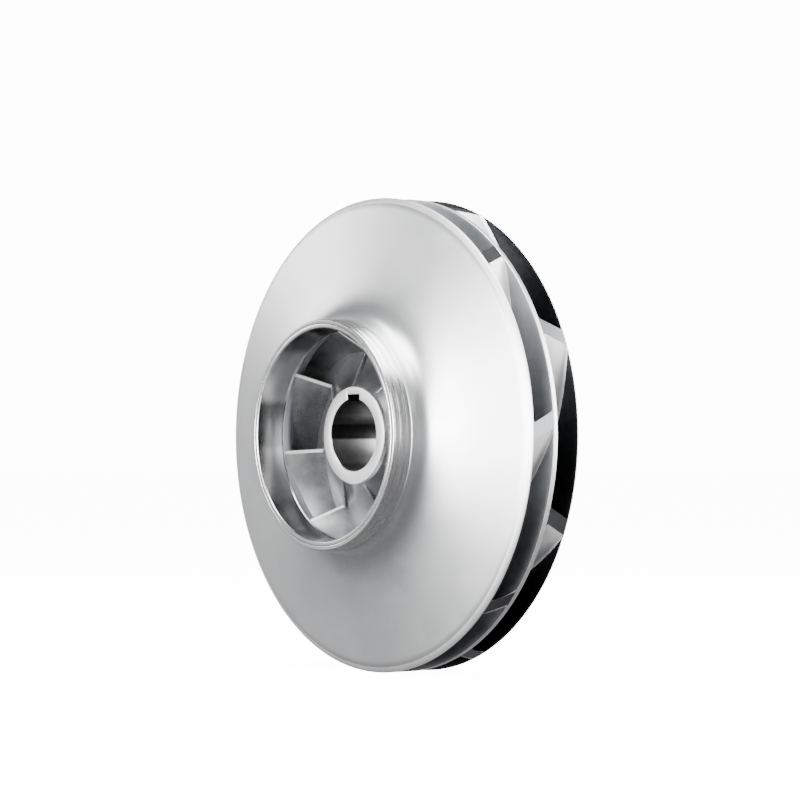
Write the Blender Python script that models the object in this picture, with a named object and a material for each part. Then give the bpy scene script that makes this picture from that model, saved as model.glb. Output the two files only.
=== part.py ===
"""Closed double-entry pump impeller, modelled as its separate metal pieces.

Units are metres, +Z is up and the shaft runs along Y. The origin is at the
middle of the shaft bore, in the plane of the centre web. The front eye faces
-Y and the rear half is its mirror image, with its vanes turned half a pitch.
"""

import math

import bmesh
import bpy
from mathutils import Matrix, Vector

# Overall size of the wheel
RIM_RADIUS = 0.200
FIT_GAP = 0.0003
VANE_EDGE_GAP = 0.0004

# Facets of the turned pieces
WHEEL_FACETS = 60
HUB_FACETS = 36

# Shaft bore, keyway and hub barrel
BORE_RADIUS = 0.030
BORE_CHAMFER = 0.0007
HUB_RADIUS = 0.041
HUB_HALF_LENGTH = 0.0481
HUB_EDGE_CHAMFER = 0.0006
KEYWAY_WIDTH = 0.0160
KEYWAY_DEPTH = 0.0044

# Hub contour that the water runs along, from the barrel out to the web rim
BARREL_END = 0.0445
WEB_RIM_HALF_THICKNESS = 0.0021
WEB_INNER_RADIUS = 0.078
WEB_STEPS = 7
HUB_FLARE_STEPS = 8

# Eye neck and the wear ring that is pressed on it
EYE_RADIUS = 0.0889
EYE_FACE = 0.0823
NECK_OUTER_RADIUS = 0.0923
SHOULDER = 0.0640
RING_OUTER_RADIUS = 0.0963
RING_CHAMFER = 0.0007

# Shroud: inner face that the water runs along and the outer face of the bell
EYE_DEPTH = 0.0545
OUTLET_WIDTH = 0.0236
RIM_LAND = 0.0008
RIM_CHAMFER_DEPTH = 0.0024
RIM_CHAMFER_RADIAL = 0.0046
SHROUD_STEPS = 7
BELL_STEPS = 6

# Vanes
VANES_PER_SIDE = 8
NOSE_THICKNESS = 0.0036
TIP_THICKNESS = 0.0062
NOSE_LENGTH = 0.12
NOSE_BLUNTNESS = 0.3
VANE_STEPS = 16
SPAN_STEPS = 3
TIP_ANGLE_AT_SHROUD = math.radians(0.4)
TIP_LEAD_AT_WEB = math.radians(3.1)
WRAP_AT_SHROUD = math.radians(126.1)
WRAP_AT_HUB = math.radians(128.7)
ENTRY_ANGLE = math.radians(21.0)
EXIT_ANGLE = math.radians(27.0)
NOSE_RADIUS_AT_HUB = 0.072

# Cast and machined stainless steel
STEEL_TONES = {
    "cast_steel": ((0.58, 0.58, 0.59), 0.34),
    "turned_steel": ((0.70, 0.70, 0.71), 0.24),
    "machined_steel": ((0.64, 0.64, 0.65), 0.28),
}


def clear_scene():
    for item in list(bpy.data.objects):
        bpy.data.objects.remove(item, do_unlink=True)


def steel(name):
    colour, roughness = STEEL_TONES[name]
    material = bpy.data.materials.new(name)
    material.use_nodes = True
    shader = material.node_tree.nodes["Principled BSDF"]
    shader.inputs["Base Color"].default_value = (*colour, 1.0)
    shader.inputs["Metallic"].default_value = 1.0
    shader.inputs["Roughness"].default_value = roughness
    return material


def blend(low, high, share):
    return low + (high - low) * share


def bezier(points, share):
    """Point of a Bezier curve, found by blending its control points in turn."""
    row = list(points)
    while len(row) > 1:
        row = [a.lerp(b, share) for a, b in zip(row, row[1:])]
    return row[0]


def hub_contour(share):
    """Water side of hub and web: barrel end at 0, web rim at 1, as (radius, depth)."""
    controls = (
        Vector((HUB_RADIUS, BARREL_END)),
        Vector((0.047, 0.0375)),
        Vector((0.064, 0.0225)),
        Vector((0.098, 0.0030)),
        Vector((RIM_RADIUS, WEB_RIM_HALF_THICKNESS)),
    )
    return bezier(controls, share)


def shroud_contour(share):
    """Water side of a shroud: end of the eye bore at 0, outlet at 1."""
    controls = (
        Vector((EYE_RADIUS + 0.0006, EYE_DEPTH - 0.0003)),
        Vector((0.0905, 0.0330)),
        Vector((0.1080, 0.0300)),
        Vector((RIM_RADIUS, OUTLET_WIDTH)),
    )
    return bezier(controls, share)


def bell_contour(share):
    """Outer face of a shroud: root of the wear ring shoulder at 0, rim chamfer at 1."""
    controls = (
        Vector((RING_OUTER_RADIUS + 0.0009, SHOULDER - 0.0009)),
        Vector((0.0985, 0.0440)),
        Vector((0.1180, 0.0400)),
        Vector((RIM_RADIUS - RIM_CHAMFER_RADIAL, OUTLET_WIDTH + RIM_LAND + RIM_CHAMFER_DEPTH)),
    )
    return bezier(controls, share)


def share_at_radius(contour, radius):
    """Share of a contour at which it reaches a radius, by halving."""
    low, high = 0.0, 1.0
    for _ in range(40):
        middle = (low + high) / 2
        if contour(middle).x < radius:
            low = middle
        else:
            high = middle
    return (low + high) / 2


def turned_mesh(name, outline, facets):
    """Closed solid made by turning an outline of (radius, y) points about Y."""
    mesh_maker = bmesh.new()
    ring = [mesh_maker.verts.new((radius, y, 0.0)) for radius, y in outline]
    edges = [mesh_maker.edges.new((a, b)) for a, b in zip(ring, ring[1:] + ring[:1])]
    bmesh.ops.spin(
        mesh_maker,
        geom=ring + edges,
        cent=(0.0, 0.0, 0.0),
        axis=(0.0, 1.0, 0.0),
        angle=math.tau,
        steps=facets,
        use_merge=True,
    )
    bmesh.ops.remove_doubles(mesh_maker, verts=mesh_maker.verts, dist=1e-6)
    return finished_mesh(name, mesh_maker)


def finished_mesh(name, mesh_maker):
    bmesh.ops.recalc_face_normals(mesh_maker, faces=mesh_maker.faces)
    mesh = bpy.data.meshes.new(name)
    mesh_maker.to_mesh(mesh)
    mesh_maker.free()
    mesh.shade_smooth()
    mesh.set_sharp_from_angle(angle=math.radians(30))
    return mesh


def place(name, mesh, material, turn=0.0):
    piece = bpy.data.objects.new(name, mesh)
    bpy.context.scene.collection.objects.link(piece)
    if not mesh.materials:
        mesh.materials.append(material)
    piece.rotation_euler.y = turn
    return piece


def mirrored(outline, side):
    """Outline with its depths measured towards one side: -1 front, 1 rear."""
    return [(radius, side * depth) for radius, depth in outline]


def keyway_cutter():
    bpy.ops.mesh.primitive_cube_add(size=1.0)
    cutter = bpy.context.object
    cutter.name = "keyway_cutter"
    top = BORE_RADIUS + KEYWAY_DEPTH
    box = Matrix.Diagonal((KEYWAY_WIDTH, 3 * HUB_HALF_LENGTH, top, 1.0))
    cutter.data.transform(Matrix.Translation((0.0, 0.0, top / 2)) @ box)
    cutter.hide_render = True
    cutter.display_type = "WIRE"
    return cutter


def make_hub(material):
    """Keyed barrel with a collar that flares out to the foot of the web."""
    end_share = share_at_radius(hub_contour, WEB_INNER_RADIUS)
    flare = [hub_contour(end_share * step / HUB_FLARE_STEPS) for step in range(HUB_FLARE_STEPS + 1)]
    barrel_end = [
        (BORE_RADIUS, HUB_HALF_LENGTH - BORE_CHAMFER),
        (BORE_RADIUS + BORE_CHAMFER, HUB_HALF_LENGTH),
        (HUB_RADIUS - HUB_EDGE_CHAMFER, HUB_HALF_LENGTH),
        (HUB_RADIUS, HUB_HALF_LENGTH - HUB_EDGE_CHAMFER),
    ]
    rear_half = barrel_end + [(point.x, point.y) for point in flare]
    front_half = mirrored(reversed(rear_half), -1)
    hub = place("hub", turned_mesh("hub", rear_half + front_half, HUB_FACETS), material)
    cut = hub.modifiers.new("keyway", "BOOLEAN")
    cut.operation = "DIFFERENCE"
    cut.object = keyway_cutter()
    return hub


def make_web(material):
    """Disc between the two rows of vanes, from the hub collar to the rim."""
    start = share_at_radius(hub_contour, WEB_INNER_RADIUS + FIT_GAP)
    face = [hub_contour(blend(start, 1.0, step / WEB_STEPS)) for step in range(WEB_STEPS + 1)]
    rear_half = [(point.x, point.y) for point in face]
    front_half = mirrored(reversed(rear_half), -1)
    return place("centre_web", turned_mesh("centre_web", rear_half + front_half, WHEEL_FACETS), material)


def make_shroud(name, side, material):
    """Bell-shaped side wall with the neck round the eye and a bevelled rim."""
    water_side = [shroud_contour(step / SHROUD_STEPS) for step in range(SHROUD_STEPS + 1)]
    bell = [bell_contour(1 - step / BELL_STEPS) for step in range(BELL_STEPS + 1)]
    outline = [
        (EYE_RADIUS, EYE_FACE - RING_CHAMFER),
        (EYE_RADIUS, EYE_DEPTH),
    ]
    outline += [(point.x, point.y) for point in water_side]
    outline += [(RIM_RADIUS, OUTLET_WIDTH + RIM_LAND)]
    outline += [(point.x, point.y) for point in bell]
    outline += [
        (RING_OUTER_RADIUS, SHOULDER),
        (NECK_OUTER_RADIUS, SHOULDER),
        (NECK_OUTER_RADIUS, EYE_FACE),
        (EYE_RADIUS + RING_CHAMFER, EYE_FACE),
    ]
    return place(name, turned_mesh(name, mirrored(outline, side), WHEEL_FACETS), material)


def make_wear_ring(name, side, material):
    """Plain ring round the neck, up against the shoulder of the shroud."""
    inner = NECK_OUTER_RADIUS + FIT_GAP
    outline = [
        (inner, SHOULDER + FIT_GAP),
        (RING_OUTER_RADIUS, SHOULDER + FIT_GAP),
        (RING_OUTER_RADIUS, EYE_FACE - RING_CHAMFER),
        (RING_OUTER_RADIUS - RING_CHAMFER, EYE_FACE),
        (inner, EYE_FACE),
    ]
    return place(name, turned_mesh(name, mirrored(outline, side), WHEEL_FACETS), material)


def stream_point(span, chord):
    """Place of a vane point as (radius, depth): span 0 hub to 1 shroud, chord 0 nose to 1 tip."""
    nose_share = share_at_radius(hub_contour, NOSE_RADIUS_AT_HUB)
    low = hub_contour(blend(nose_share, 1.0, chord))
    high = shroud_contour(chord)
    across = (high - low).normalized()
    return low.lerp(high, span) + across * VANE_EDGE_GAP * (1 - 2 * span)


def vane_angle_law(span):
    """Share of the wrap reached at each station along the vane, and the local blade angle."""
    angles = [blend(ENTRY_ANGLE, EXIT_ANGLE, step / VANE_STEPS) for step in range(VANE_STEPS + 1)]
    reached = [0.0]
    for step in range(VANE_STEPS):
        here = stream_point(span, step / VANE_STEPS)
        ahead = stream_point(span, (step + 1) / VANE_STEPS)
        tangent = math.tan((angles[step] + angles[step + 1]) / 2)
        reached.append(reached[-1] + (ahead - here).length * 2 / ((here.x + ahead.x) * tangent))
    return [value / reached[-1] for value in reached], angles


def vane_sides(span, side):
    """Two rows of points, one down each side of the vane, at one height of its span."""
    wrap = blend(WRAP_AT_HUB, WRAP_AT_SHROUD, span)
    tip = TIP_ANGLE_AT_SHROUD + TIP_LEAD_AT_WEB * (1 - span)
    shares, angles = vane_angle_law(span)
    rows = ([], [])
    for step, (share, angle) in enumerate(zip(shares, angles)):
        chord = step / VANE_STEPS
        point = stream_point(span, chord)
        nose = min(1.0, chord / NOSE_LENGTH)
        full = blend(NOSE_THICKNESS, TIP_THICKNESS, chord)
        thickness = full * max(NOSE_BLUNTNESS, math.sqrt(nose * (2 - nose)))
        half_width = thickness / (2 * math.sin(angle) * point.x)
        centre = tip - wrap * (1 - share)
        for row, sign in zip(rows, (1, -1)):
            turn = centre + sign * half_width
            row.append((point.x * math.cos(turn), side * point.y, point.x * math.sin(turn)))
    return rows


def vane_mesh(name, side):
    """One backward-curved vane as a closed solid between the web and its shroud."""
    mesh_maker = bmesh.new()
    grid = []
    for level in range(SPAN_STEPS + 1):
        upper, lower = vane_sides(level / SPAN_STEPS, side)
        loop = upper + lower[::-1]
        grid.append([mesh_maker.verts.new(point) for point in loop])
    count = len(grid[0])
    for low_loop, high_loop in zip(grid, grid[1:]):
        for i in range(count):
            j = (i + 1) % count
            mesh_maker.faces.new((low_loop[i], low_loop[j], high_loop[j], high_loop[i]))
    for loop in (grid[0], grid[-1]):
        for i in range(VANE_STEPS):
            far = count - 1 - i
            mesh_maker.faces.new((loop[i], loop[i + 1], loop[far - 1], loop[far]))
    return finished_mesh(name, mesh_maker)


def make_vanes(prefix, side, stagger, material):
    pitch = math.tau / VANES_PER_SIDE
    mesh = vane_mesh(prefix, side)
    for index in range(VANES_PER_SIDE):
        place(f"{prefix}_{index + 1}", mesh, material, turn=-(stagger + index * pitch))


def main():
    clear_scene()
    cast = steel("cast_steel")
    turned = steel("turned_steel")
    machined = steel("machined_steel")
    make_hub(machined)
    make_web(cast)
    make_shroud("front_shroud", -1, turned)
    make_shroud("rear_shroud", 1, turned)
    make_wear_ring("front_wear_ring", -1, machined)
    make_wear_ring("rear_wear_ring", 1, machined)
    make_vanes("front_vane", -1, 0.0, cast)
    make_vanes("rear_vane", 1, math.pi / VANES_PER_SIDE, cast)


main()
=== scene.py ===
"""Visual model and studio for a closed double-entry pump impeller.

Units are metres, +Z is up and the shaft runs along Y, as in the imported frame.
The front eye faces -Y. Each class below builds one sub-assembly of the wheel in
its place and dresses it in its own steel finish.
"""

import logging
import math
from dataclasses import dataclass, field
from enum import Enum
from typing import Callable, ClassVar, Dict, List, Mapping, Optional, Sequence, Tuple, Union

import bmesh
import bpy
from mathutils import Matrix, Vector


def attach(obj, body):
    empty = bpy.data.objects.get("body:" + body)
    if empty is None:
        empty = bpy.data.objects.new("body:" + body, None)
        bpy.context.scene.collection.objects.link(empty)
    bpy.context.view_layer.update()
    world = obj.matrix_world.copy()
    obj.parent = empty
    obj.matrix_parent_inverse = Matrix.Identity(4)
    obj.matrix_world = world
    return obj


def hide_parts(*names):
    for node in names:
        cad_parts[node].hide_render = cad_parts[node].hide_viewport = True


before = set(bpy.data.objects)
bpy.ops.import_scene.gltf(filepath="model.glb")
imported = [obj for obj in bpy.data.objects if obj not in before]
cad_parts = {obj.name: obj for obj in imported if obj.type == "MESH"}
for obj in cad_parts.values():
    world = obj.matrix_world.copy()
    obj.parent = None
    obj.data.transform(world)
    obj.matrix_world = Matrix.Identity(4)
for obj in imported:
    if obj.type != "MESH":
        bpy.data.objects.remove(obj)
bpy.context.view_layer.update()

LOG = logging.getLogger("impeller")
BODY = "root"
Profile = List[Tuple[float, float]]
Number = Union[int, float]


class Side(Enum):
    """Which half of the wheel a piece belongs to, as the sign of its Y."""

    FRONT = -1
    REAR = 1

    @property
    def word(self) -> str:
        """Word that starts the names of this side's pieces."""
        return self.name.lower()


class Skin(Enum):
    """How a steel surface was made."""

    TURNED = "turned in a lathe"
    CAST = "cast and blasted smooth"


# Shader building


class Socket:
    """One output socket, which adds Math nodes when Python operators meet it."""

    def __init__(self, maker: "ShaderMaker", socket: bpy.types.NodeSocket) -> None:
        """Args:
            maker: the material's node maker.
            socket: the output that this object stands for.
        """
        self.maker = maker
        self.socket = socket

    def math(self, operation: str, *others: Union["Socket", Number]) -> "Socket":
        """Result of a Math node on this value.

        Args:
            operation: the node's operation.
            others: the second and third values.

        Returns:
            The node's output.
        """
        values = dict(enumerate((self, *others)))
        return self.maker.node("ShaderNodeMath", {"operation": operation}, values)

    def flipped(self, operation: str, other: Number) -> "Socket":
        """Result of a Math node with the plain number first."""
        return self.maker.node("ShaderNodeMath", {"operation": operation}, {0: other, 1: self})

    def __add__(self, other: Union["Socket", Number]) -> "Socket":
        """Sum."""
        return self.math("ADD", other)

    def __radd__(self, other: Number) -> "Socket":
        """Sum with the number first."""
        return self.flipped("ADD", other)

    def __sub__(self, other: Union["Socket", Number]) -> "Socket":
        """Difference."""
        return self.math("SUBTRACT", other)

    def __rsub__(self, other: Number) -> "Socket":
        """Difference with the number first."""
        return self.flipped("SUBTRACT", other)

    def __mul__(self, other: Union["Socket", Number]) -> "Socket":
        """Product."""
        return self.math("MULTIPLY", other)

    def __rmul__(self, other: Number) -> "Socket":
        """Product with the number first."""
        return self.flipped("MULTIPLY", other)

    def __truediv__(self, other: Union["Socket", Number]) -> "Socket":
        """Quotient."""
        return self.math("DIVIDE", other)

    def clamped(self, low: float = 0.0, high: float = 1.0) -> "Socket":
        """Value held between two limits."""
        return self.math("MAXIMUM", low).math("MINIMUM", high)

    def ramp(self, start: float, end: float) -> "Socket":
        """Smooth rise from 0 at start to 1 at end."""
        settings = {"interpolation_type": "SMOOTHSTEP"}
        return self.maker.node("ShaderNodeMapRange", settings, {0: self, 1: start, 2: end})


class ShaderMaker:
    """Adds nodes to one material, or to the world."""

    def __init__(self, owner: Union[bpy.types.Material, bpy.types.World]) -> None:
        """Args:
            owner: the material or world whose nodes are made.
        """
        owner.use_nodes = True
        self.owner = owner
        self.tree = owner.node_tree

    @staticmethod
    def material(name: str) -> "ShaderMaker":
        """Maker for a new material of that name."""
        return ShaderMaker(bpy.data.materials.new(name))

    def node(
        self,
        kind: str,
        settings: Optional[Mapping[str, object]] = None,
        inputs: Optional[Mapping[Union[int, str], object]] = None,
        output: Union[int, str] = 0,
    ) -> Socket:
        """Adds any node.

        Args:
            kind: the node's type.
            settings: attributes of the node, set before its sockets.
            inputs: value or linked Socket for each input, by place or name.
            output: the output wanted, by place or name.

        Returns:
            The wanted output.
        """
        made = self.tree.nodes.new(kind)
        for key, value in (settings or {}).items():
            setattr(made, key, value)
        for key, value in (inputs or {}).items():
            self.feed(made.inputs[key], value)
        return Socket(self, made.outputs[output])

    def feed(self, target: bpy.types.NodeSocket, value: object) -> None:
        """Links a Socket to an input, or sets the input's own value."""
        if isinstance(value, Socket):
            self.tree.links.new(value.socket, target)
        else:
            target.default_value = value

    def dress(self, values: Mapping[str, object]) -> None:
        """Feeds the Principled shader's inputs by name."""
        for key, value in values.items():
            self.feed(self.tree.nodes["Principled BSDF"].inputs[key], value)

    def mixed(self, share: Socket, low: Sequence[float], high: Sequence[float]) -> Socket:
        """Colour between two colours.

        Args:
            share: 0 for the first colour and 1 for the second.
            low: first colour.
            high: second colour.

        Returns:
            The mixed colour.
        """
        inputs = {"Factor": share, 6: (*low, 1.0), 7: (*high, 1.0)}
        return self.node("ShaderNodeMix", {"data_type": "RGBA"}, inputs, 2)

    def noise(self, scale: float, detail: float, vector: Socket, rough: float = 0.5) -> Socket:
        """Cloudy noise from 0 to 1 at a point."""
        inputs = {"Vector": vector, "Scale": scale, "Detail": detail, "Roughness": rough}
        return self.node("ShaderNodeTexNoise", {}, inputs)

    def line_noise(self, place: Socket, scale: float, detail: float) -> Socket:
        """Noise from 0 to 1 along one measure only."""
        inputs = {"W": place, "Scale": scale, "Detail": detail}
        return self.node("ShaderNodeTexNoise", {"noise_dimensions": "1D"}, inputs)

    def vector(self, x: Socket, y: Socket, z: Socket) -> Socket:
        """Vector from three values."""
        return self.node("ShaderNodeCombineXYZ", {}, {0: x, 1: y, 2: z})


@dataclass(frozen=True)
class SteelFinish:
    """Stainless steel with the marks of how it was made, and where asked, painted shade and painted
    reflection bands in its colour.
    """

    CLOUDS_PER_METRE: ClassVar[float] = 17.0
    STAINS_PER_METRE: ClassVar[float] = 55.0
    GRAINS_PER_METRE: ClassVar[float] = 900.0
    WAVES_PER_METRE: ClassVar[float] = 45.0
    WAVE_TO_GRAIN: ClassVar[float] = 36.0
    POLISH_LINES_PER_METRE: ClassVar[float] = 900.0

    name: str
    skin: Skin
    dark: Tuple[float, float, float]
    light: Tuple[float, float, float]
    roughness: float
    roughness_swing: float = 0.08
    metallic: float = 1.0
    tool_marks_per_metre: float = 2600.0
    mark_height: float = 0.000004
    grain_height: float = 0.000002
    mark_share: float = 0.4
    contrast: float = 1.0
    # Painted shade: how much darker the colour gets towards the shaft, and more so deep between the walls
    # of the passages, where shade falls.
    shaded_inwards: float = 0.0
    shade_span: Tuple[float, float] = (0.085, 0.175)
    bared_rim: float = 0.0
    # Painted reflection: light and dark bands of tone along Z, with the blur between them.
    painted_reflection_bands: Tuple[Tuple[float, float], ...] = ()
    painted_band_blur: float = 0.0012

    def material(self) -> bpy.types.Material:
        """Builds the material.

        Returns:
            A material that reads Object coordinates only.
        """
        maker = ShaderMaker.material(self.name)
        place = maker.node("ShaderNodeTexCoord", {}, {}, "Object")
        x, y, z = (maker.node("ShaderNodeSeparateXYZ", {}, {0: place}, i) for i in range(3))
        radius = (x * x + z * z).math("SQRT")
        if self.skin is Skin.TURNED:
            height, marks = self.turned_height(maker, x, y, z, radius)
        else:
            height, marks = self.cast_height(maker, place)
        clouds = maker.noise(self.CLOUDS_PER_METRE, 4.0, place, 0.55)
        stain = maker.noise(self.STAINS_PER_METRE, 2.0, place).ramp(0.45, 0.90)
        tone = (clouds * (1.0 - self.mark_share) + marks * self.mark_share).ramp(0.25, 0.75)
        tone = 0.5 + (tone - 0.5 - stain * 0.25) * self.contrast
        metallic: Union[Socket, Number] = self.metallic
        # Painted shade: darker towards the shaft, and darker still in the deep middle of the passages.
        if self.shaded_inwards:
            inward_shade = 1.0 - radius.ramp(*self.shade_span)
            painted_deep_shade = 1.5 - y.math("ABSOLUTE").ramp(0.022, 0.056)
            tone = tone - inward_shade * painted_deep_shade * self.shaded_inwards
        if self.bared_rim:
            bared = radius.ramp(0.150, 0.185)
            tone = tone + bared * 0.5
            metallic = self.metallic - bared * self.bared_rim
        # Painted reflection bands, which set nearly all of the colour.
        if self.painted_reflection_bands:
            tone = tone * 0.1 + self.painted_reflection_tone(z) * 0.9
        colour = maker.mixed(tone.clamped(), self.dark, self.light)
        roughness = self.roughness + (clouds - 0.5) * self.roughness_swing
        roughness = roughness + (marks - 0.5) * self.roughness_swing + stain * 0.04
        bump = maker.node("ShaderNodeBump", {}, {"Height": height, "Strength": 1.0, "Distance": 1.0})
        maker.dress({
            "Base Color": colour,
            "Metallic": metallic,
            "Roughness": roughness.clamped(0.05, 0.9),
            "Normal": bump,
        })
        return maker.owner

    def painted_reflection_tone(self, height: Socket) -> Socket:
        """Tone of the painted reflection: broad light and dark bands that run along the shaft.

        Args:
            height: the Z of a point.

        Returns:
            The tone, which goes softly from each stripe to the next one up.
        """
        (_, lowest), *above = self.painted_reflection_bands
        tone, last = height * 0.0 + lowest, lowest
        for edge, level in above:
            tone = tone + height.ramp(edge - self.painted_band_blur, edge + self.painted_band_blur) * (level - last)
            last = level
        return tone

    def turned_height(
        self, maker: ShaderMaker, x: Socket, y: Socket, z: Socket, radius: Socket
    ) -> Tuple[Socket, Socket]:
        """Tool marks that run round the shaft, with fine broken polishing lines.

        Returns:
            Height in metres, and the strength of the marks from 0 to 1.
        """
        across = radius + y.math("ABSOLUTE")
        feed = maker.line_noise(across, self.tool_marks_per_metre, 3.0)
        around = maker.vector(x / radius * 3.0, z / radius * 3.0, across * self.POLISH_LINES_PER_METRE)
        polish = maker.noise(1.0, 3.0, around, 0.6)
        marks = feed * 0.55 + polish * 0.45
        return marks * self.mark_height, marks

    def cast_height(self, maker: ShaderMaker, place: Socket) -> Tuple[Socket, Socket]:
        """Fine pits and soft waves of a cast skin.

        Returns:
            Height in metres, and the depth of the grain from 0 to 1.
        """
        grain = maker.noise(self.GRAINS_PER_METRE, 2.0, place)
        waves = maker.noise(self.WAVES_PER_METRE, 2.0, place)
        return (grain + waves * self.WAVE_TO_GRAIN) * self.grain_height, grain


@dataclass(frozen=True)
class FloorFinish:
    """Pale matt floor."""

    name: str = "studio_floor"
    tone: float = 0.9
    glow: float = 13.3

    def material(self) -> bpy.types.Material:
        """Builds the floor's material."""
        maker = ShaderMaker.material(self.name)
        place = maker.node("ShaderNodeTexCoord", {}, {}, "Object")
        speckle = maker.noise(60.0, 3.0, place)
        low = (self.tone - 0.01,) * 3
        high = (self.tone + 0.01,) * 3
        maker.dress({
            "Base Color": maker.mixed(speckle, low, high),
            "Roughness": 0.8,
            "Emission Color": (1.0, 1.0, 1.0, 1.0),
            "Emission Strength": self.glow,
        })
        return maker.owner


@dataclass(frozen=True)
class Finishes:
    """The finishes of the wheel, each made once."""

    cast: bpy.types.Material
    web: bpy.types.Material
    vane: bpy.types.Material
    nose: bpy.types.Material
    tip: bpy.types.Material
    painted_deep_shade: bpy.types.Material
    shroud: bpy.types.Material
    machined: bpy.types.Material
    faced: bpy.types.Material
    eye_wall: bpy.types.Material
    edge: bpy.types.Material
    bore: bpy.types.Material

    @staticmethod
    def make() -> "Finishes":
        """Builds every steel."""
        cast, turned = Skin.CAST, Skin.TURNED
        dark = (0.14, 0.145, 0.155)
        return Finishes(
            # The hub's colour holds painted shade, darkest at the barrel and lighter out along the flare.
            cast=SteelFinish(
                "cast_hub_steel", cast, dark, (0.60, 0.605, 0.61), 0.31, 0.08, 0.88,
                mark_share=0.10, contrast=0.40, shaded_inwards=0.35, shade_span=(0.043, 0.074),
            ).material(),
            web=SteelFinish(
                "cast_web_steel", cast, (0.20, 0.21, 0.225), (0.46, 0.475, 0.50), 0.48, 0.06, 0.96,
                mark_share=0.10, contrast=0.35,
            ).material(),
            # The vanes' colour holds painted shade, darker towards the eye and deep between the walls.
            vane=SteelFinish(
                "ground_vane_steel", cast, dark, (0.96, 0.955, 0.95), 0.29, 0.08, 0.78,
                mark_share=0.10, contrast=0.40, shaded_inwards=0.28, bared_rim=0.38,
            ).material(),
            # Lighter steel on the faces at the vanes' noses: a painted highlight along the nose.
            nose=SteelFinish(
                "nose_steel_painted_highlight", cast, (0.78, 0.78, 0.78), (0.92, 0.92, 0.92), 0.40, 0.06, 0.60,
                mark_share=0.2,
            ).material(),
            tip=SteelFinish(
                "turned_tip_steel", turned, (0.11, 0.113, 0.12), (0.18, 0.183, 0.19), 0.33, 0.08
            ).material(),
            # Near-black steel for the rear shroud's water side: painted shadow in the rear passages.
            painted_deep_shade=SteelFinish(
                "painted_shadow_cast_steel", cast, (0.020, 0.021, 0.024), (0.045, 0.047, 0.052), 0.36, 0.10,
                mark_share=0.12,
            ).material(),
            shroud=SteelFinish(
                "satin_turned_steel", turned, (0.585, 0.593, 0.610), (0.670, 0.677, 0.692), 0.33, 0.06
            ).material(),
            machined=SteelFinish(
                "bright_machined_steel", turned, (0.64, 0.64, 0.645), (0.77, 0.77, 0.77), 0.19, 0.07
            ).material(),
            faced=SteelFinish(
                "faced_end_steel", turned, (0.76, 0.76, 0.76), (0.86, 0.86, 0.86), 0.38, 0.07
            ).material(),
            # Painted reflection: light and dark bands across the eye's bore.
            eye_wall=SteelFinish(
                "bored_eye_steel", turned, (0.15, 0.152, 0.156), (0.88, 0.88, 0.88), 0.17, 0.05,
                painted_reflection_bands=((-1.0, 0.20), (-0.054, 0.42), (-0.010, 0.08), (0.029, 1.0), (0.070, 0.15)),
                painted_band_blur=0.0045,
            ).material(),
            # Lighter steel on rounded edges and rims: partly a cut finish, partly a painted highlight.
            edge=SteelFinish(
                "freshly_cut_edge_steel", turned, (0.84, 0.84, 0.84), (0.94, 0.94, 0.94), 0.44, 0.06
            ).material(),
            # Painted reflection and shade: light and dark bands across the shaft bore.
            bore=SteelFinish(
                "honed_bore_steel", turned, (0.010, 0.010, 0.011), (0.56, 0.56, 0.56), 0.31, 0.05,
                painted_reflection_bands=((-1.0, 0.60), (-0.024, 1.0), (-0.003, 0.0), (0.0095, 0.16), (0.018, 0.09)),
            ).material(),
        )


# Shapes


def bezier(points: Sequence[Tuple[float, float]], share: float) -> Vector:
    """Point of a Bezier curve.

    Args:
        points: control points as (radius, depth).
        share: 0 at the first point and 1 at the last.

    Returns:
        The point as a vector.
    """
    row = [Vector(point) for point in points]
    while len(row) > 1:
        row = [a.lerp(b, share) for a, b in zip(row, row[1:])]
    return row[0]


def blend(low: float, high: float, share: float) -> float:
    """Value between two values."""
    return low + (high - low) * share


def halving(measure: Callable[[float], float], wanted: float) -> float:
    """Share at which a rising measure reaches a value, by halving."""
    low, high = 0.0, 1.0
    for _ in range(40):
        middle = (low + high) / 2
        if measure(middle) < wanted:
            low = middle
        else:
            high = middle
    return (low + high) / 2


def mirrored(outline: Profile, side: Side) -> Profile:
    """Outline with its depths measured towards one side of the wheel."""
    return [(radius, side.value * depth) for radius, depth in outline]


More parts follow.
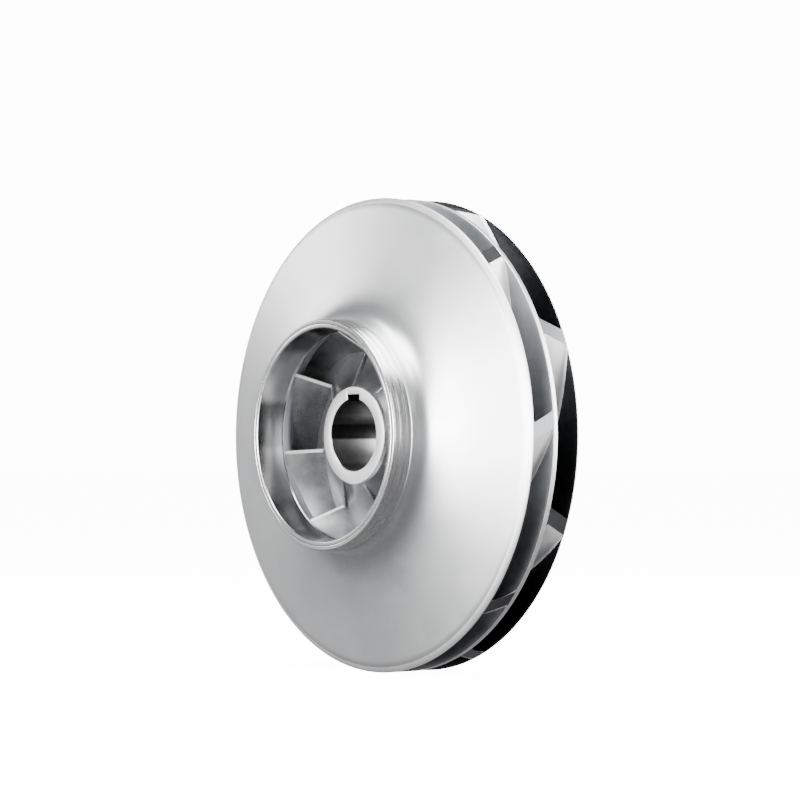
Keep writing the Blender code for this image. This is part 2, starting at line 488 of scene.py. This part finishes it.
@dataclass
class Workshop:
    """Makes meshes and puts finished pieces on the frame."""

    around: int = 256
    sharp_angle: float = math.radians(32)
    made: List[str] = field(default_factory=list)

    def turned(self, outline: Profile, steps: Optional[int] = None) -> bmesh.types.BMesh:
        """Spins a closed outline about the shaft.

        Args:
            outline: corners as (radius, y).
            steps: facets around, or the usual number.

        Returns:
            The closed solid.
        """
        maker = bmesh.new()
        ring = [maker.verts.new((radius, y, 0.0)) for radius, y in outline]
        edges = [maker.edges.new(pair) for pair in zip(ring, ring[1:] + ring[:1])]
        bmesh.ops.spin(
            maker,
            geom=ring + edges,
            cent=(0.0, 0.0, 0.0),
            axis=(0.0, 1.0, 0.0),
            angle=math.tau,
            steps=steps or self.around,
            use_merge=True,
        )
        bmesh.ops.remove_doubles(maker, verts=maker.verts, dist=1e-7)
        bmesh.ops.recalc_face_normals(maker, faces=maker.faces)
        return maker

    def soften(
        self, maker: bmesh.types.BMesh, width: float, segments: int = 2, beyond: float = 0.0
    ) -> None:
        """Rounds every edge that turns sharply.

        Args:
            maker: the solid.
            width: width of the rounding, in metres.
            segments: facets across it.
            beyond: edges nearer the shaft than this radius stay as they are.
        """
        corners = [
            edge
            for edge in maker.edges
            if edge.is_manifold
            and edge.calc_face_angle(0.0) > self.sharp_angle
            and math.hypot(edge.verts[0].co.x, edge.verts[0].co.z) > beyond
        ]
        bmesh.ops.bevel(
            maker,
            geom=corners,
            offset=width,
            offset_type="OFFSET",
            affect="EDGES",
            segments=segments,
            profile=0.5,
            material=-1,
            clamp_overlap=True,
        )

    def mesh(self, name: str, maker: bmesh.types.BMesh) -> bpy.types.Mesh:
        """Mesh data with smooth faces and true sharp edges."""
        data = bpy.data.meshes.new(name)
        maker.to_mesh(data)
        maker.free()
        data.shade_smooth()
        data.set_sharp_from_angle(angle=self.sharp_angle)
        return data

    def place(
        self,
        name: str,
        data: bpy.types.Mesh,
        materials: Sequence[bpy.types.Material],
        node: str,
        slot: str,
    ) -> bpy.types.Object:
        """Puts a finished piece on the frame in place of its CAD node.

        Args:
            name: the piece's name.
            data: its mesh, already in place.
            materials: its materials, in the order of the faces' indices.
            node: the CAD node it stands for.
            slot: the record's material slot; not used.

        Returns:
            The piece.
        """
        piece = bpy.data.objects.new(name, data)
        bpy.context.scene.collection.objects.link(piece)
        for material in materials:
            data.materials.append(material)
        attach(piece, BODY)
        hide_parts(node)
        self.made.append(name)
        LOG.info("%s: %d faces, stands for %s", name, len(data.polygons), node)
        return piece


@dataclass(frozen=True)
class WaterWay:
    """The walls that the water runs between, as curves of (radius, depth)."""

    rim_radius: float = 0.2000
    eye_radius: float = 0.0889
    eye_depth: float = 0.0545
    hub_radius: float = 0.0410
    barrel_end: float = 0.0445
    outlet_width: float = 0.0236
    web_rim: float = 0.0021
    rim_slack: float = 0.0004

    def hub(self, share: float) -> Vector:
        """Hub and web wall: barrel end at 0, rim at 1."""
        return bezier(
            (
                (self.hub_radius, self.barrel_end),
                (0.0470, 0.0375),
                (0.0640, 0.0225),
                (0.0980, 0.0030),
                (self.rim_radius, self.web_rim),
            ),
            share,
        )

    def shroud(self, share: float) -> Vector:
        """Shroud wall: end of the eye bore at 0, outlet at 1."""
        return bezier(
            (
                (self.eye_radius + 0.0006, self.eye_depth - 0.0003),
                (0.0905, 0.0330),
                (0.1080, 0.0300),
                (self.rim_radius, self.outlet_width),
            ),
            share,
        )

    def at_rim(self, centre: Vector) -> bool:
        """Whether the middle of a face lies on the rim's cylinder."""
        return math.hypot(centre.x, centre.z) > self.rim_radius - self.rim_slack

    def hub_share(self, radius: float) -> float:
        """Share of the hub wall at a radius."""
        return halving(lambda share: self.hub(share).x, radius)


@dataclass
class Hub:
    """Keyed barrel with its flare to the foot of the web."""

    way: WaterWay
    bore_radius: float = 0.0300
    half_length: float = 0.0481
    flare_radius: float = 0.0772
    bore_chamfer: float = 0.0007
    end_chamfer: float = 0.0006
    key_width: float = 0.0160
    key_depth: float = 0.0044
    edge_round: float = 0.00025
    lap_length: float = 0.0018
    lap_depth: float = 0.00015
    steps: int = 40

    def outline(self) -> Profile:
        """Section of the hub, whose flare laps under the web's foot."""
        end = self.way.hub_share(self.flare_radius)
        flare = [self.way.hub(end * step / self.steps) for step in range(self.steps + 1)]
        rear = [
            (self.bore_radius, self.half_length - self.bore_chamfer),
            (self.bore_radius + self.bore_chamfer, self.half_length),
            (self.way.hub_radius - self.end_chamfer, self.half_length),
            (self.way.hub_radius, self.half_length - self.end_chamfer),
        ]
        rear += [(point.x, point.y) for point in flare]
        under = self.way.hub(self.way.hub_share(self.flare_radius + self.lap_length))
        rear += [(under.x, under.y - self.lap_depth)]
        return rear + mirrored(rear[::-1], Side.FRONT)

    def key_cutter(self) -> bpy.types.Object:
        """Block that cuts the keyway."""
        maker = bmesh.new()
        top = self.bore_radius + self.key_depth
        size = Matrix.Diagonal((self.key_width, 3 * self.half_length, top, 1.0))
        bmesh.ops.create_cube(maker, size=1.0, matrix=Matrix.Translation((0, 0, top / 2)) @ size)
        data = bpy.data.meshes.new("key_cutter")
        maker.to_mesh(data)
        maker.free()
        cutter = bpy.data.objects.new("key_cutter", data)
        bpy.context.scene.collection.objects.link(cutter)
        return cutter

    def build(self, shop: Workshop, finishes: Finishes) -> None:
        """Turns the hub, cuts the keyway and places it."""
        blank_data = shop.mesh("hub_blank", shop.turned(self.outline(), 192))
        blank = bpy.data.objects.new("hub_blank", blank_data)
        bpy.context.scene.collection.objects.link(blank)
        cutter = self.key_cutter()
        cut = blank.modifiers.new("keyway", "BOOLEAN")
        cut.operation = "DIFFERENCE"
        cut.solver = "EXACT"
        cut.object = cutter
        ease = blank.modifiers.new("edge", "BEVEL")
        ease.width = self.edge_round
        ease.segments = 2
        ease.limit_method = "ANGLE"
        ease.angle_limit = math.radians(40)
        graph = bpy.context.evaluated_depsgraph_get()
        data = bpy.data.meshes.new_from_object(blank.evaluated_get(graph))
        for scrap in (blank, cutter):
            bpy.data.objects.remove(scrap)
        data.name = "keyed_hub"
        data.materials.clear()
        data.shade_smooth()
        data.set_sharp_from_angle(angle=shop.sharp_angle)
        piece = shop.place(
            "keyed_hub",
            data,
            (finishes.cast, finishes.faced, finishes.bore),
            "hub",
            "machined_steel",
        )
        self.mark_faces(piece)

    def mark_faces(self, piece: bpy.types.Object) -> None:
        """Gives the end faces, the bore and the flare their own finish."""
        for face in piece.data.polygons:
            centre = face.center
            inside = math.hypot(centre.x, centre.z) < self.bore_radius + self.key_depth + 0.001
            if abs(centre.y) > self.way.barrel_end:
                face.material_index = 1
            # The bore gets the steel with painted reflection bands.
            if inside and abs(centre.y) < self.half_length - 0.0001:
                face.material_index = 2


@dataclass
class CentreWeb:
    """Disc between the two rows of vanes."""

    way: WaterWay
    inner_radius: float = 0.0776
    edge_round: float = 0.0004
    steps: int = 40

    def build(self, shop: Workshop, finishes: Finishes) -> None:
        """Turns the web and places it."""
        start = self.way.hub_share(self.inner_radius)
        face = [self.way.hub(blend(start, 1.0, step / self.steps)) for step in range(self.steps + 1)]
        rear = [(point.x, point.y) for point in face]
        solid = shop.turned(rear + mirrored(rear[::-1], Side.FRONT))
        shop.soften(solid, self.edge_round, 3, self.inner_radius + 0.001)
        data = shop.mesh("web_disc", solid)
        steels = (finishes.web, finishes.edge)
        piece = shop.place("web_disc", data, steels, "centre_web", "cast_steel")
        # The web's rim gets the lighter edge steel with its painted highlight.
        for polygon in piece.data.polygons:
            if self.way.at_rim(polygon.center):
                polygon.material_index = 1


@dataclass
class Shroud:
    """Bell-shaped side wall with the neck round its eye and a bevelled rim."""

    way: WaterWay
    side: Side
    eye_face: float = 0.0823
    neck_radius: float = 0.0924
    ring_radius: float = 0.0963
    shoulder: float = 0.0640
    rim_land: float = 0.0008
    bevel_depth: float = 0.0024
    bevel_radial: float = 0.0046
    edge_chamfer: float = 0.0007
    edge_round: float = 0.00025
    eye_step: float = 0.0007
    eye_step_start: float = 0.0009
    steps: int = 44

    def bell(self, share: float) -> Vector:
        """Outer face: root of the ring's shoulder at 0, rim bevel at 1."""
        rim = (
            self.way.rim_radius - self.bevel_radial,
            self.way.outlet_width + self.rim_land + self.bevel_depth,
        )
        controls = (
            (self.ring_radius + 0.0009, self.shoulder - 0.0009),
            (0.0985, 0.0440),
            (0.1180, 0.0400),
            rim,
        )
        return bezier(controls, share)

    def outline(self) -> Profile:
        """Section of the shroud as (radius, depth)."""
        water = [self.way.shroud(step / self.steps) for step in range(self.steps + 1)]
        bell = [self.bell(1 - step / self.steps) for step in range(self.steps + 1)]
        points = [
            (self.way.eye_radius, self.eye_face - self.edge_chamfer),
            (self.way.eye_radius, self.way.eye_depth + self.eye_step_start + self.eye_step),
            (self.way.eye_radius - self.eye_step, self.way.eye_depth + self.eye_step_start),
            (self.way.eye_radius - self.eye_step, self.way.eye_depth),
        ]
        points += [(point.x, point.y) for point in water]
        points += [(self.way.rim_radius, self.way.outlet_width + self.rim_land)]
        points += [(point.x, point.y) for point in bell]
        points += [
            (self.ring_radius, self.shoulder),
            (self.neck_radius, self.shoulder),
            (self.neck_radius, self.eye_face),
            (self.way.eye_radius + self.edge_chamfer, self.eye_face),
        ]
        return points

    def build(self, shop: Workshop, finishes: Finishes) -> None:
        """Turns the shroud, dresses its inside and outside, and places it."""
        solid = shop.turned(mirrored(self.outline(), self.side))
        shop.soften(solid, self.edge_round)
        name = f"{self.side.word}_bell_shroud"
        data = shop.mesh(name, solid)
        piece = shop.place(
            name,
            data,
            (
                finishes.shroud,
                # The rear shroud's water side gets the near-black steel, a painted shadow.
                finishes.painted_deep_shade if self.side is Side.REAR else finishes.web,
                finishes.machined,
                finishes.edge,
                finishes.eye_wall,
            ),
            f"{self.side.word}_shroud",
            "turned_steel",
        )
        self.mark_faces(piece)

    def mark_faces(self, piece: bpy.types.Object) -> None:
        """Gives the water side and the neck their own finish."""
        for face in piece.data.polygons:
            centre = face.center
            depth = abs(centre.y)
            radius = math.hypot(centre.x, centre.z)
            on_neck = self.way.eye_radius + 0.0002 < radius < self.neck_radius + 0.0005
            if depth > self.shoulder and on_neck:
                face.material_index = 2
            # The eye's bore gets the steel with painted reflection bands.
            elif radius < self.way.eye_radius + 0.0004 and depth > self.way.eye_depth + 0.0005:
                face.material_index = 4
            elif face.normal.y * self.side.value < 0 and radius < self.way.rim_radius - 0.0003:
                face.material_index = 1
            # The rim bevel gets the lighter edge steel with its painted highlight.
            elif radius > self.way.rim_radius - self.bevel_radial - 0.0002:
                face.material_index = 3


@dataclass
class WearRing:
    """Ring pressed on the neck, with its turned grooves."""

    side: Side
    inner_radius: float = 0.0926
    outer_radius: float = 0.0963
    eye_face: float = 0.0823
    shoulder: float = 0.0640
    edge_chamfer: float = 0.0007
    groove_depth: float = 0.00055
    grooves: Tuple[float, ...] = (0.0769, 0.0696)
    groove_half_width: float = 0.0009
    groove_floor_share: float = 0.35
    edge_round: float = 0.0002

    def outline(self) -> Profile:
        """Section of the ring as (radius, depth)."""
        points = [
            (self.inner_radius, self.shoulder),
            (self.outer_radius, self.shoulder),
        ]
        bottom = self.outer_radius - self.groove_depth
        floor = self.groove_half_width * self.groove_floor_share
        for place in sorted(self.grooves):
            points += [
                (self.outer_radius, place - self.groove_half_width),
                (bottom, place - floor),
                (bottom, place + floor),
                (self.outer_radius, place + self.groove_half_width),
            ]
        points += [
            (self.outer_radius, self.eye_face - self.edge_chamfer),
            (self.outer_radius - self.edge_chamfer, self.eye_face),
            (self.inner_radius + 0.0003, self.eye_face),
            (self.inner_radius, self.eye_face - 0.0003),
        ]
        return points

    def build(self, shop: Workshop, finishes: Finishes) -> None:
        """Turns the ring and places it."""
        solid = shop.turned(mirrored(self.outline(), self.side))
        shop.soften(solid, self.edge_round)
        name = f"{self.side.word}_grooved_wear_ring"
        data = shop.mesh(name, solid)
        node = f"{self.side.word}_wear_ring"
        shop.place(name, data, (finishes.machined,), node, "machined_steel")


@dataclass
class VaneRow:
    """One row of backward-curved vanes between the web and a shroud."""

    TIP: ClassVar[int] = 1
    NOSE: ClassVar[int] = 2

    way: WaterWay
    side: Side
    stagger: float
    count: int = 8
    tip_angle: float = math.radians(0.4)
    tip_lead_at_web: float = math.radians(3.1)
    wrap_at_shroud: float = math.radians(126.1)
    wrap_at_hub: float = math.radians(128.7)
    entry_angle: float = math.radians(21.0)
    exit_angle: float = math.radians(27.0)
    nose_thickness: float = 0.0030
    tip_thickness: float = 0.0062
    nose_share: float = 0.03
    root_fillet: float = 0.0024
    nose_radius_at_hub: float = 0.0720
    rib_start: float = 0.02
    rib_top: Tuple[float, float] = (0.0404, 0.0440)
    rib_foot: Tuple[float, float] = (0.0735, 0.0250)
    rib_width: Tuple[float, float] = (0.0020, 0.0040)
    rib_squareness: float = 0.6
    rib_sunk: float = -0.35
    rib_turn: float = math.radians(1.2)
    sunk: float = 0.0004
    stations: int = 56
    levels: int = 20
    crowding: float = 1.6

    def __post_init__(self) -> None:
        """Works out where the nose leaves the hub."""
        self.nose_at = self.way.hub_share(self.nose_radius_at_hub)

    def point(self, span: float, chord: float) -> Vector:
        """Point of the camber sheet as (radius, depth).

        Args:
            span: 0 at the hub and 1 at the shroud.
            chord: 0 at the nose and 1 at the tip.

        Returns:
            The point.
        """
        low = self.way.hub(blend(self.nose_at, 1.0, chord))
        high = self.way.shroud(chord)
        across = (high - low).normalized() * self.sunk
        return low.lerp(high, span) - across * (1 - 2 * span)

    def wall_distance(self, span: float, chord: float) -> float:
        """Distance of a vane point from the nearer wall, along the span."""
        low = self.way.hub(blend(self.nose_at, 1.0, chord))
        width = (self.way.shroud(chord) - low).length
        return max(0.0, min(span, 1 - span) * width)

    def camber(self, span: float) -> List[Tuple[Vector, float, float]]:
        """Stations down one height of the vane.

        Args:
            span: 0 at the hub and 1 at the shroud.

        Returns:
            Point, angle about the shaft and blade angle at each station.
        """
        shares = [(step / self.stations) ** self.crowding for step in range(self.stations + 1)]
        points = [self.point(span, share) for share in shares]
        angles = [blend(self.entry_angle, self.exit_angle, share) for share in shares]
        reached = [0.0]
        for here, ahead, low, high in zip(points, points[1:], angles, angles[1:]):
            slope = math.tan((low + high) / 2)
            reached.append(reached[-1] + (ahead - here).length * 2 / ((here.x + ahead.x) * slope))
        wrap = blend(self.wrap_at_hub, self.wrap_at_shroud, span)
        tip = self.tip_angle + self.tip_lead_at_web * (1 - span)
        return [
            (point, tip - wrap * (1 - done / reached[-1]), angle)
            for point, done, angle in zip(points, reached, angles)
        ]

    def section(self, span: float) -> List[Vector]:
        """Closed loop of points round the vane at one height, from the middle of its tip."""
        upper, lower = [], []
        for step, (point, turn, angle) in enumerate(self.camber(span)):
            chord = (step / self.stations) ** self.crowding
            nose = min(1.0, chord / self.nose_share)
            wall = self.wall_distance(span, chord)
            half = blend(self.nose_thickness, self.tip_thickness, chord ** 0.8) / 2
            fillet = self.root_fillet * min(1.0, max(0.0, 2.5 * chord - 0.5))
            if wall < fillet:
                half += fillet - math.sqrt(fillet ** 2 - (fillet - wall) ** 2)
            half *= math.sqrt(nose * (2 - nose))
            swing = half / (math.sin(angle) * point.x)
            for row, sign in ((upper, 1), (lower, -1)):
                where = turn + sign * swing
                spot = (point.x * math.cos(where), self.side.value * point.y, point.x * math.sin(where))
                row.append(Vector(spot))
        middle = (upper[-1] + lower[-1]) / 2
        return [middle] + upper[::-1] + lower[1:] + [middle]

    def solid(self) -> bmesh.types.BMesh:
        """One vane, bent from a flat grid and closed along its seam and ends."""
        heights = [(1 - math.cos(math.pi * level / self.levels)) / 2 for level in range(self.levels + 1)]
        loops = [self.section(height) for height in heights]
        around = len(loops[0]) - 1
        maker = bmesh.new()
        bmesh.ops.create_grid(maker, x_segments=around, y_segments=self.levels, size=0.5)
        for face in maker.faces:
            # Nose faces get the lighter nose steel, a painted highlight.
            if abs(face.calc_center_median().x) * around < 1.0:
                face.material_index = self.NOSE
        for vertex in maker.verts:
            along = round((vertex.co.x + 0.5) * around)
            level = round((vertex.co.y + 0.5) * self.levels)
            vertex.co = loops[level][along]
        bmesh.ops.remove_doubles(maker, verts=maker.verts, dist=1e-7)
        bmesh.ops.holes_fill(maker, edges=maker.edges, sides=0)
        bmesh.ops.recalc_face_normals(maker, faces=maker.faces)
        return maker

    def nose_rib(self, maker: bmesh.types.BMesh) -> None:
        """Adds the rib that carries the nose on from the hub wall up to the barrel's end.

        Args:
            maker: the vane's mesh, which the rib joins.
        """
        along, around = 24, 36
        made = bmesh.ops.create_grid(maker, x_segments=around, y_segments=along, size=0.5)["verts"]
        turn = self.tip_angle + self.tip_lead_at_web - self.wrap_at_hub
        for vertex in made:
            share = vertex.co.y + 0.5
            swing = (vertex.co.x + 0.5) * math.tau
            foot = self.way.hub(self.nose_at * blend(self.rib_start, 1.04, share))
            crest = Vector(self.rib_top).lerp(Vector(self.rib_foot), share)
            lift, lean = (
                math.copysign(abs(part) ** self.rib_squareness, part)
                for part in (math.sin(swing), math.cos(swing))
            )
            spot = foot.lerp(crest, max(self.rib_sunk, lift))
            half = blend(self.rib_width[0], self.rib_width[1], share) / 2
            where = turn + self.rib_turn * (1 - share) + half * lean / spot.x
            vertex.co = (spot.x * math.cos(where), self.side.value * spot.y, spot.x * math.sin(where))
        bmesh.ops.remove_doubles(maker, verts=made, dist=1e-7)
        bmesh.ops.holes_fill(maker, edges=maker.edges, sides=0)
        bmesh.ops.recalc_face_normals(maker, faces=maker.faces)

    def build(self, shop: Workshop, finishes: Finishes) -> None:
        """Makes the row's vanes, each turned to its place in its own mesh."""
        for index in range(self.count):
            turn = -(self.stagger + index * math.tau / self.count)
            maker = self.solid()
            self.nose_rib(maker)
            bmesh.ops.rotate(maker, verts=maker.verts, matrix=Matrix.Rotation(turn, 3, "Y"))
            name = f"{self.side.word}_curved_vane_{index + 1}"
            data = shop.mesh(name, maker)
            piece = shop.place(
                name,
                data,
                (finishes.vane, finishes.tip, finishes.nose),
                f"{self.side.word}_vane_{index + 1}",
                "cast_steel",
            )
            self.mark_tip(piece.data)

    def mark_tip(self, data: bpy.types.Mesh) -> None:
        """Gives the turned tip its own finish and a crisp edge all round."""
        tip_edges, side_edges = set(), set()
        for face in data.polygons:
            if self.way.at_rim(face.center):
                face.material_index = self.TIP
                tip_edges.update(face.edge_keys)
            else:
                side_edges.update(face.edge_keys)
        crisp = tip_edges & side_edges
        for edge in data.edges:
            if edge.key in crisp:
                edge.use_edge_sharp = True


@dataclass(frozen=True)
class SoftBox:
    """One large soft lamp that faces the wheel."""

    name: str
    azimuth: float
    elevation: float
    distance: float
    width: float
    height: float
    power: float

    def build(self) -> None:
        """Adds the lamp."""
        lamp = bpy.data.lights.new(self.name, "AREA")
        lamp.shape = "RECTANGLE"
        lamp.size = self.width
        lamp.size_y = self.height
        lamp.energy = self.power
        holder = bpy.data.objects.new(self.name, lamp)
        bpy.context.scene.collection.objects.link(holder)
        side, lift = math.radians(self.azimuth), math.radians(self.elevation)
        aim = Vector((math.sin(side) * math.cos(lift), -math.cos(side) * math.cos(lift), math.sin(lift)))
        holder.location = aim * self.distance
        holder.rotation_euler = aim.to_track_quat("Z", "Y").to_euler()


@dataclass
class Studio:
    """Pale floor, soft lamps and the camera."""

    floor_level: float = -0.2000
    azimuth: float = 50.85
    elevation: float = -0.43
    distance: float = 2.601
    lens: float = 137.9
    shift: Tuple[float, float] = (0.00275, 0.04425)
    room_level: float = 0.24
    room_band: float = 0.55
    room_seen: float = 14.0
    lamps: Tuple[SoftBox, ...] = (
        SoftBox("front_softbox", 2.0, 5.0, 2.6, 3.1, 1.1, 260.0),
        SoftBox("upper_left_softbox", -66.0, 18.0, 2.6, 1.1, 0.6, 15.0),
        SoftBox("front_top_softbox", 12.0, 52.0, 2.6, 1.1, 0.9, 45.0),
        SoftBox("top_softbox", 60.0, 78.0, 2.4, 2.0, 2.0, 170.0),
        SoftBox("back_softbox", 134.0, 16.0, 2.6, 2.4, 2.0, 165.0),
    )

    def build(self) -> None:
        """Builds the whole studio."""
        self.add_floor()
        self.add_world()
        for lamp in self.lamps:
            lamp.build()
        self.add_camera()

    def add_floor(self) -> None:
        """Lays the floor under the wheel."""
        maker = bmesh.new()
        bmesh.ops.create_grid(maker, x_segments=1, y_segments=1, size=30.0)
        bmesh.ops.translate(maker, verts=maker.verts, vec=(0.0, 0.0, self.floor_level))
        data = bpy.data.meshes.new("studio_floor")
        maker.to_mesh(data)
        maker.free()
        data.materials.append(FloorFinish().material())
        floor = bpy.data.objects.new("studio_floor", data)
        bpy.context.scene.collection.objects.link(floor)
        floor.visible_glossy = False
        floor.visible_diffuse = False

    def add_world(self) -> None:
        """White room, dimmer above and below the horizon in the light that it gives."""
        world = bpy.data.worlds.new("white_room")
        bpy.context.scene.world = world
        maker = ShaderMaker(world)
        place = maker.node("ShaderNodeTexCoord", {}, {}, "Generated")
        height = maker.node("ShaderNodeSeparateXYZ", {}, {0: place}, 2)
        band = 1.0 - (height + 0.03).math("ABSOLUTE").ramp(0.08, 0.38)
        seen = maker.node("ShaderNodeLightPath", {}, {}, "Is Camera Ray")
        given = self.room_level + band * self.room_band
        strength = seen * self.room_seen + (1.0 - seen) * given
        back = maker.tree.nodes["Background"]
        back.inputs["Color"].default_value = (1.0, 1.0, 1.0, 1.0)
        maker.feed(back.inputs["Strength"], strength)

    def add_camera(self) -> None:
        """Puts the camera at the photograph's angle."""
        side, lift = math.radians(self.azimuth), math.radians(self.elevation)
        back = Vector((math.sin(side) * math.cos(lift), -math.cos(side) * math.cos(lift), math.sin(lift)))
        right = Vector((math.cos(side), math.sin(side), 0.0))
        up = back.cross(right)
        lens = bpy.data.cameras.new("photo_camera")
        lens.lens = self.lens
        lens.shift_x, lens.shift_y = self.shift
        holder = bpy.data.objects.new("photo_camera", lens)
        bpy.context.scene.collection.objects.link(holder)
        turn = Matrix((right, up, back)).transposed().to_4x4()
        holder.matrix_world = Matrix.Translation(back * self.distance) @ turn
        bpy.context.scene.camera = holder


def main() -> None:
    """Builds the wheel piece by piece, then the studio."""
    logging.basicConfig(level=logging.INFO, format="%(name)s: %(message)s")
    shop = Workshop()
    finishes = Finishes.make()
    way = WaterWay()
    Hub(way).build(shop, finishes)
    CentreWeb(way).build(shop, finishes)
    for side in Side:
        Shroud(way, side).build(shop, finishes)
        WearRing(side).build(shop, finishes)
    VaneRow(way, Side.FRONT, 0.0).build(shop, finishes)
    VaneRow(way, Side.REAR, math.pi / 8).build(shop, finishes)
    Studio().build()
    LOG.info("%d pieces made", len(shop.made))


if __name__ == "__main__":
    main()
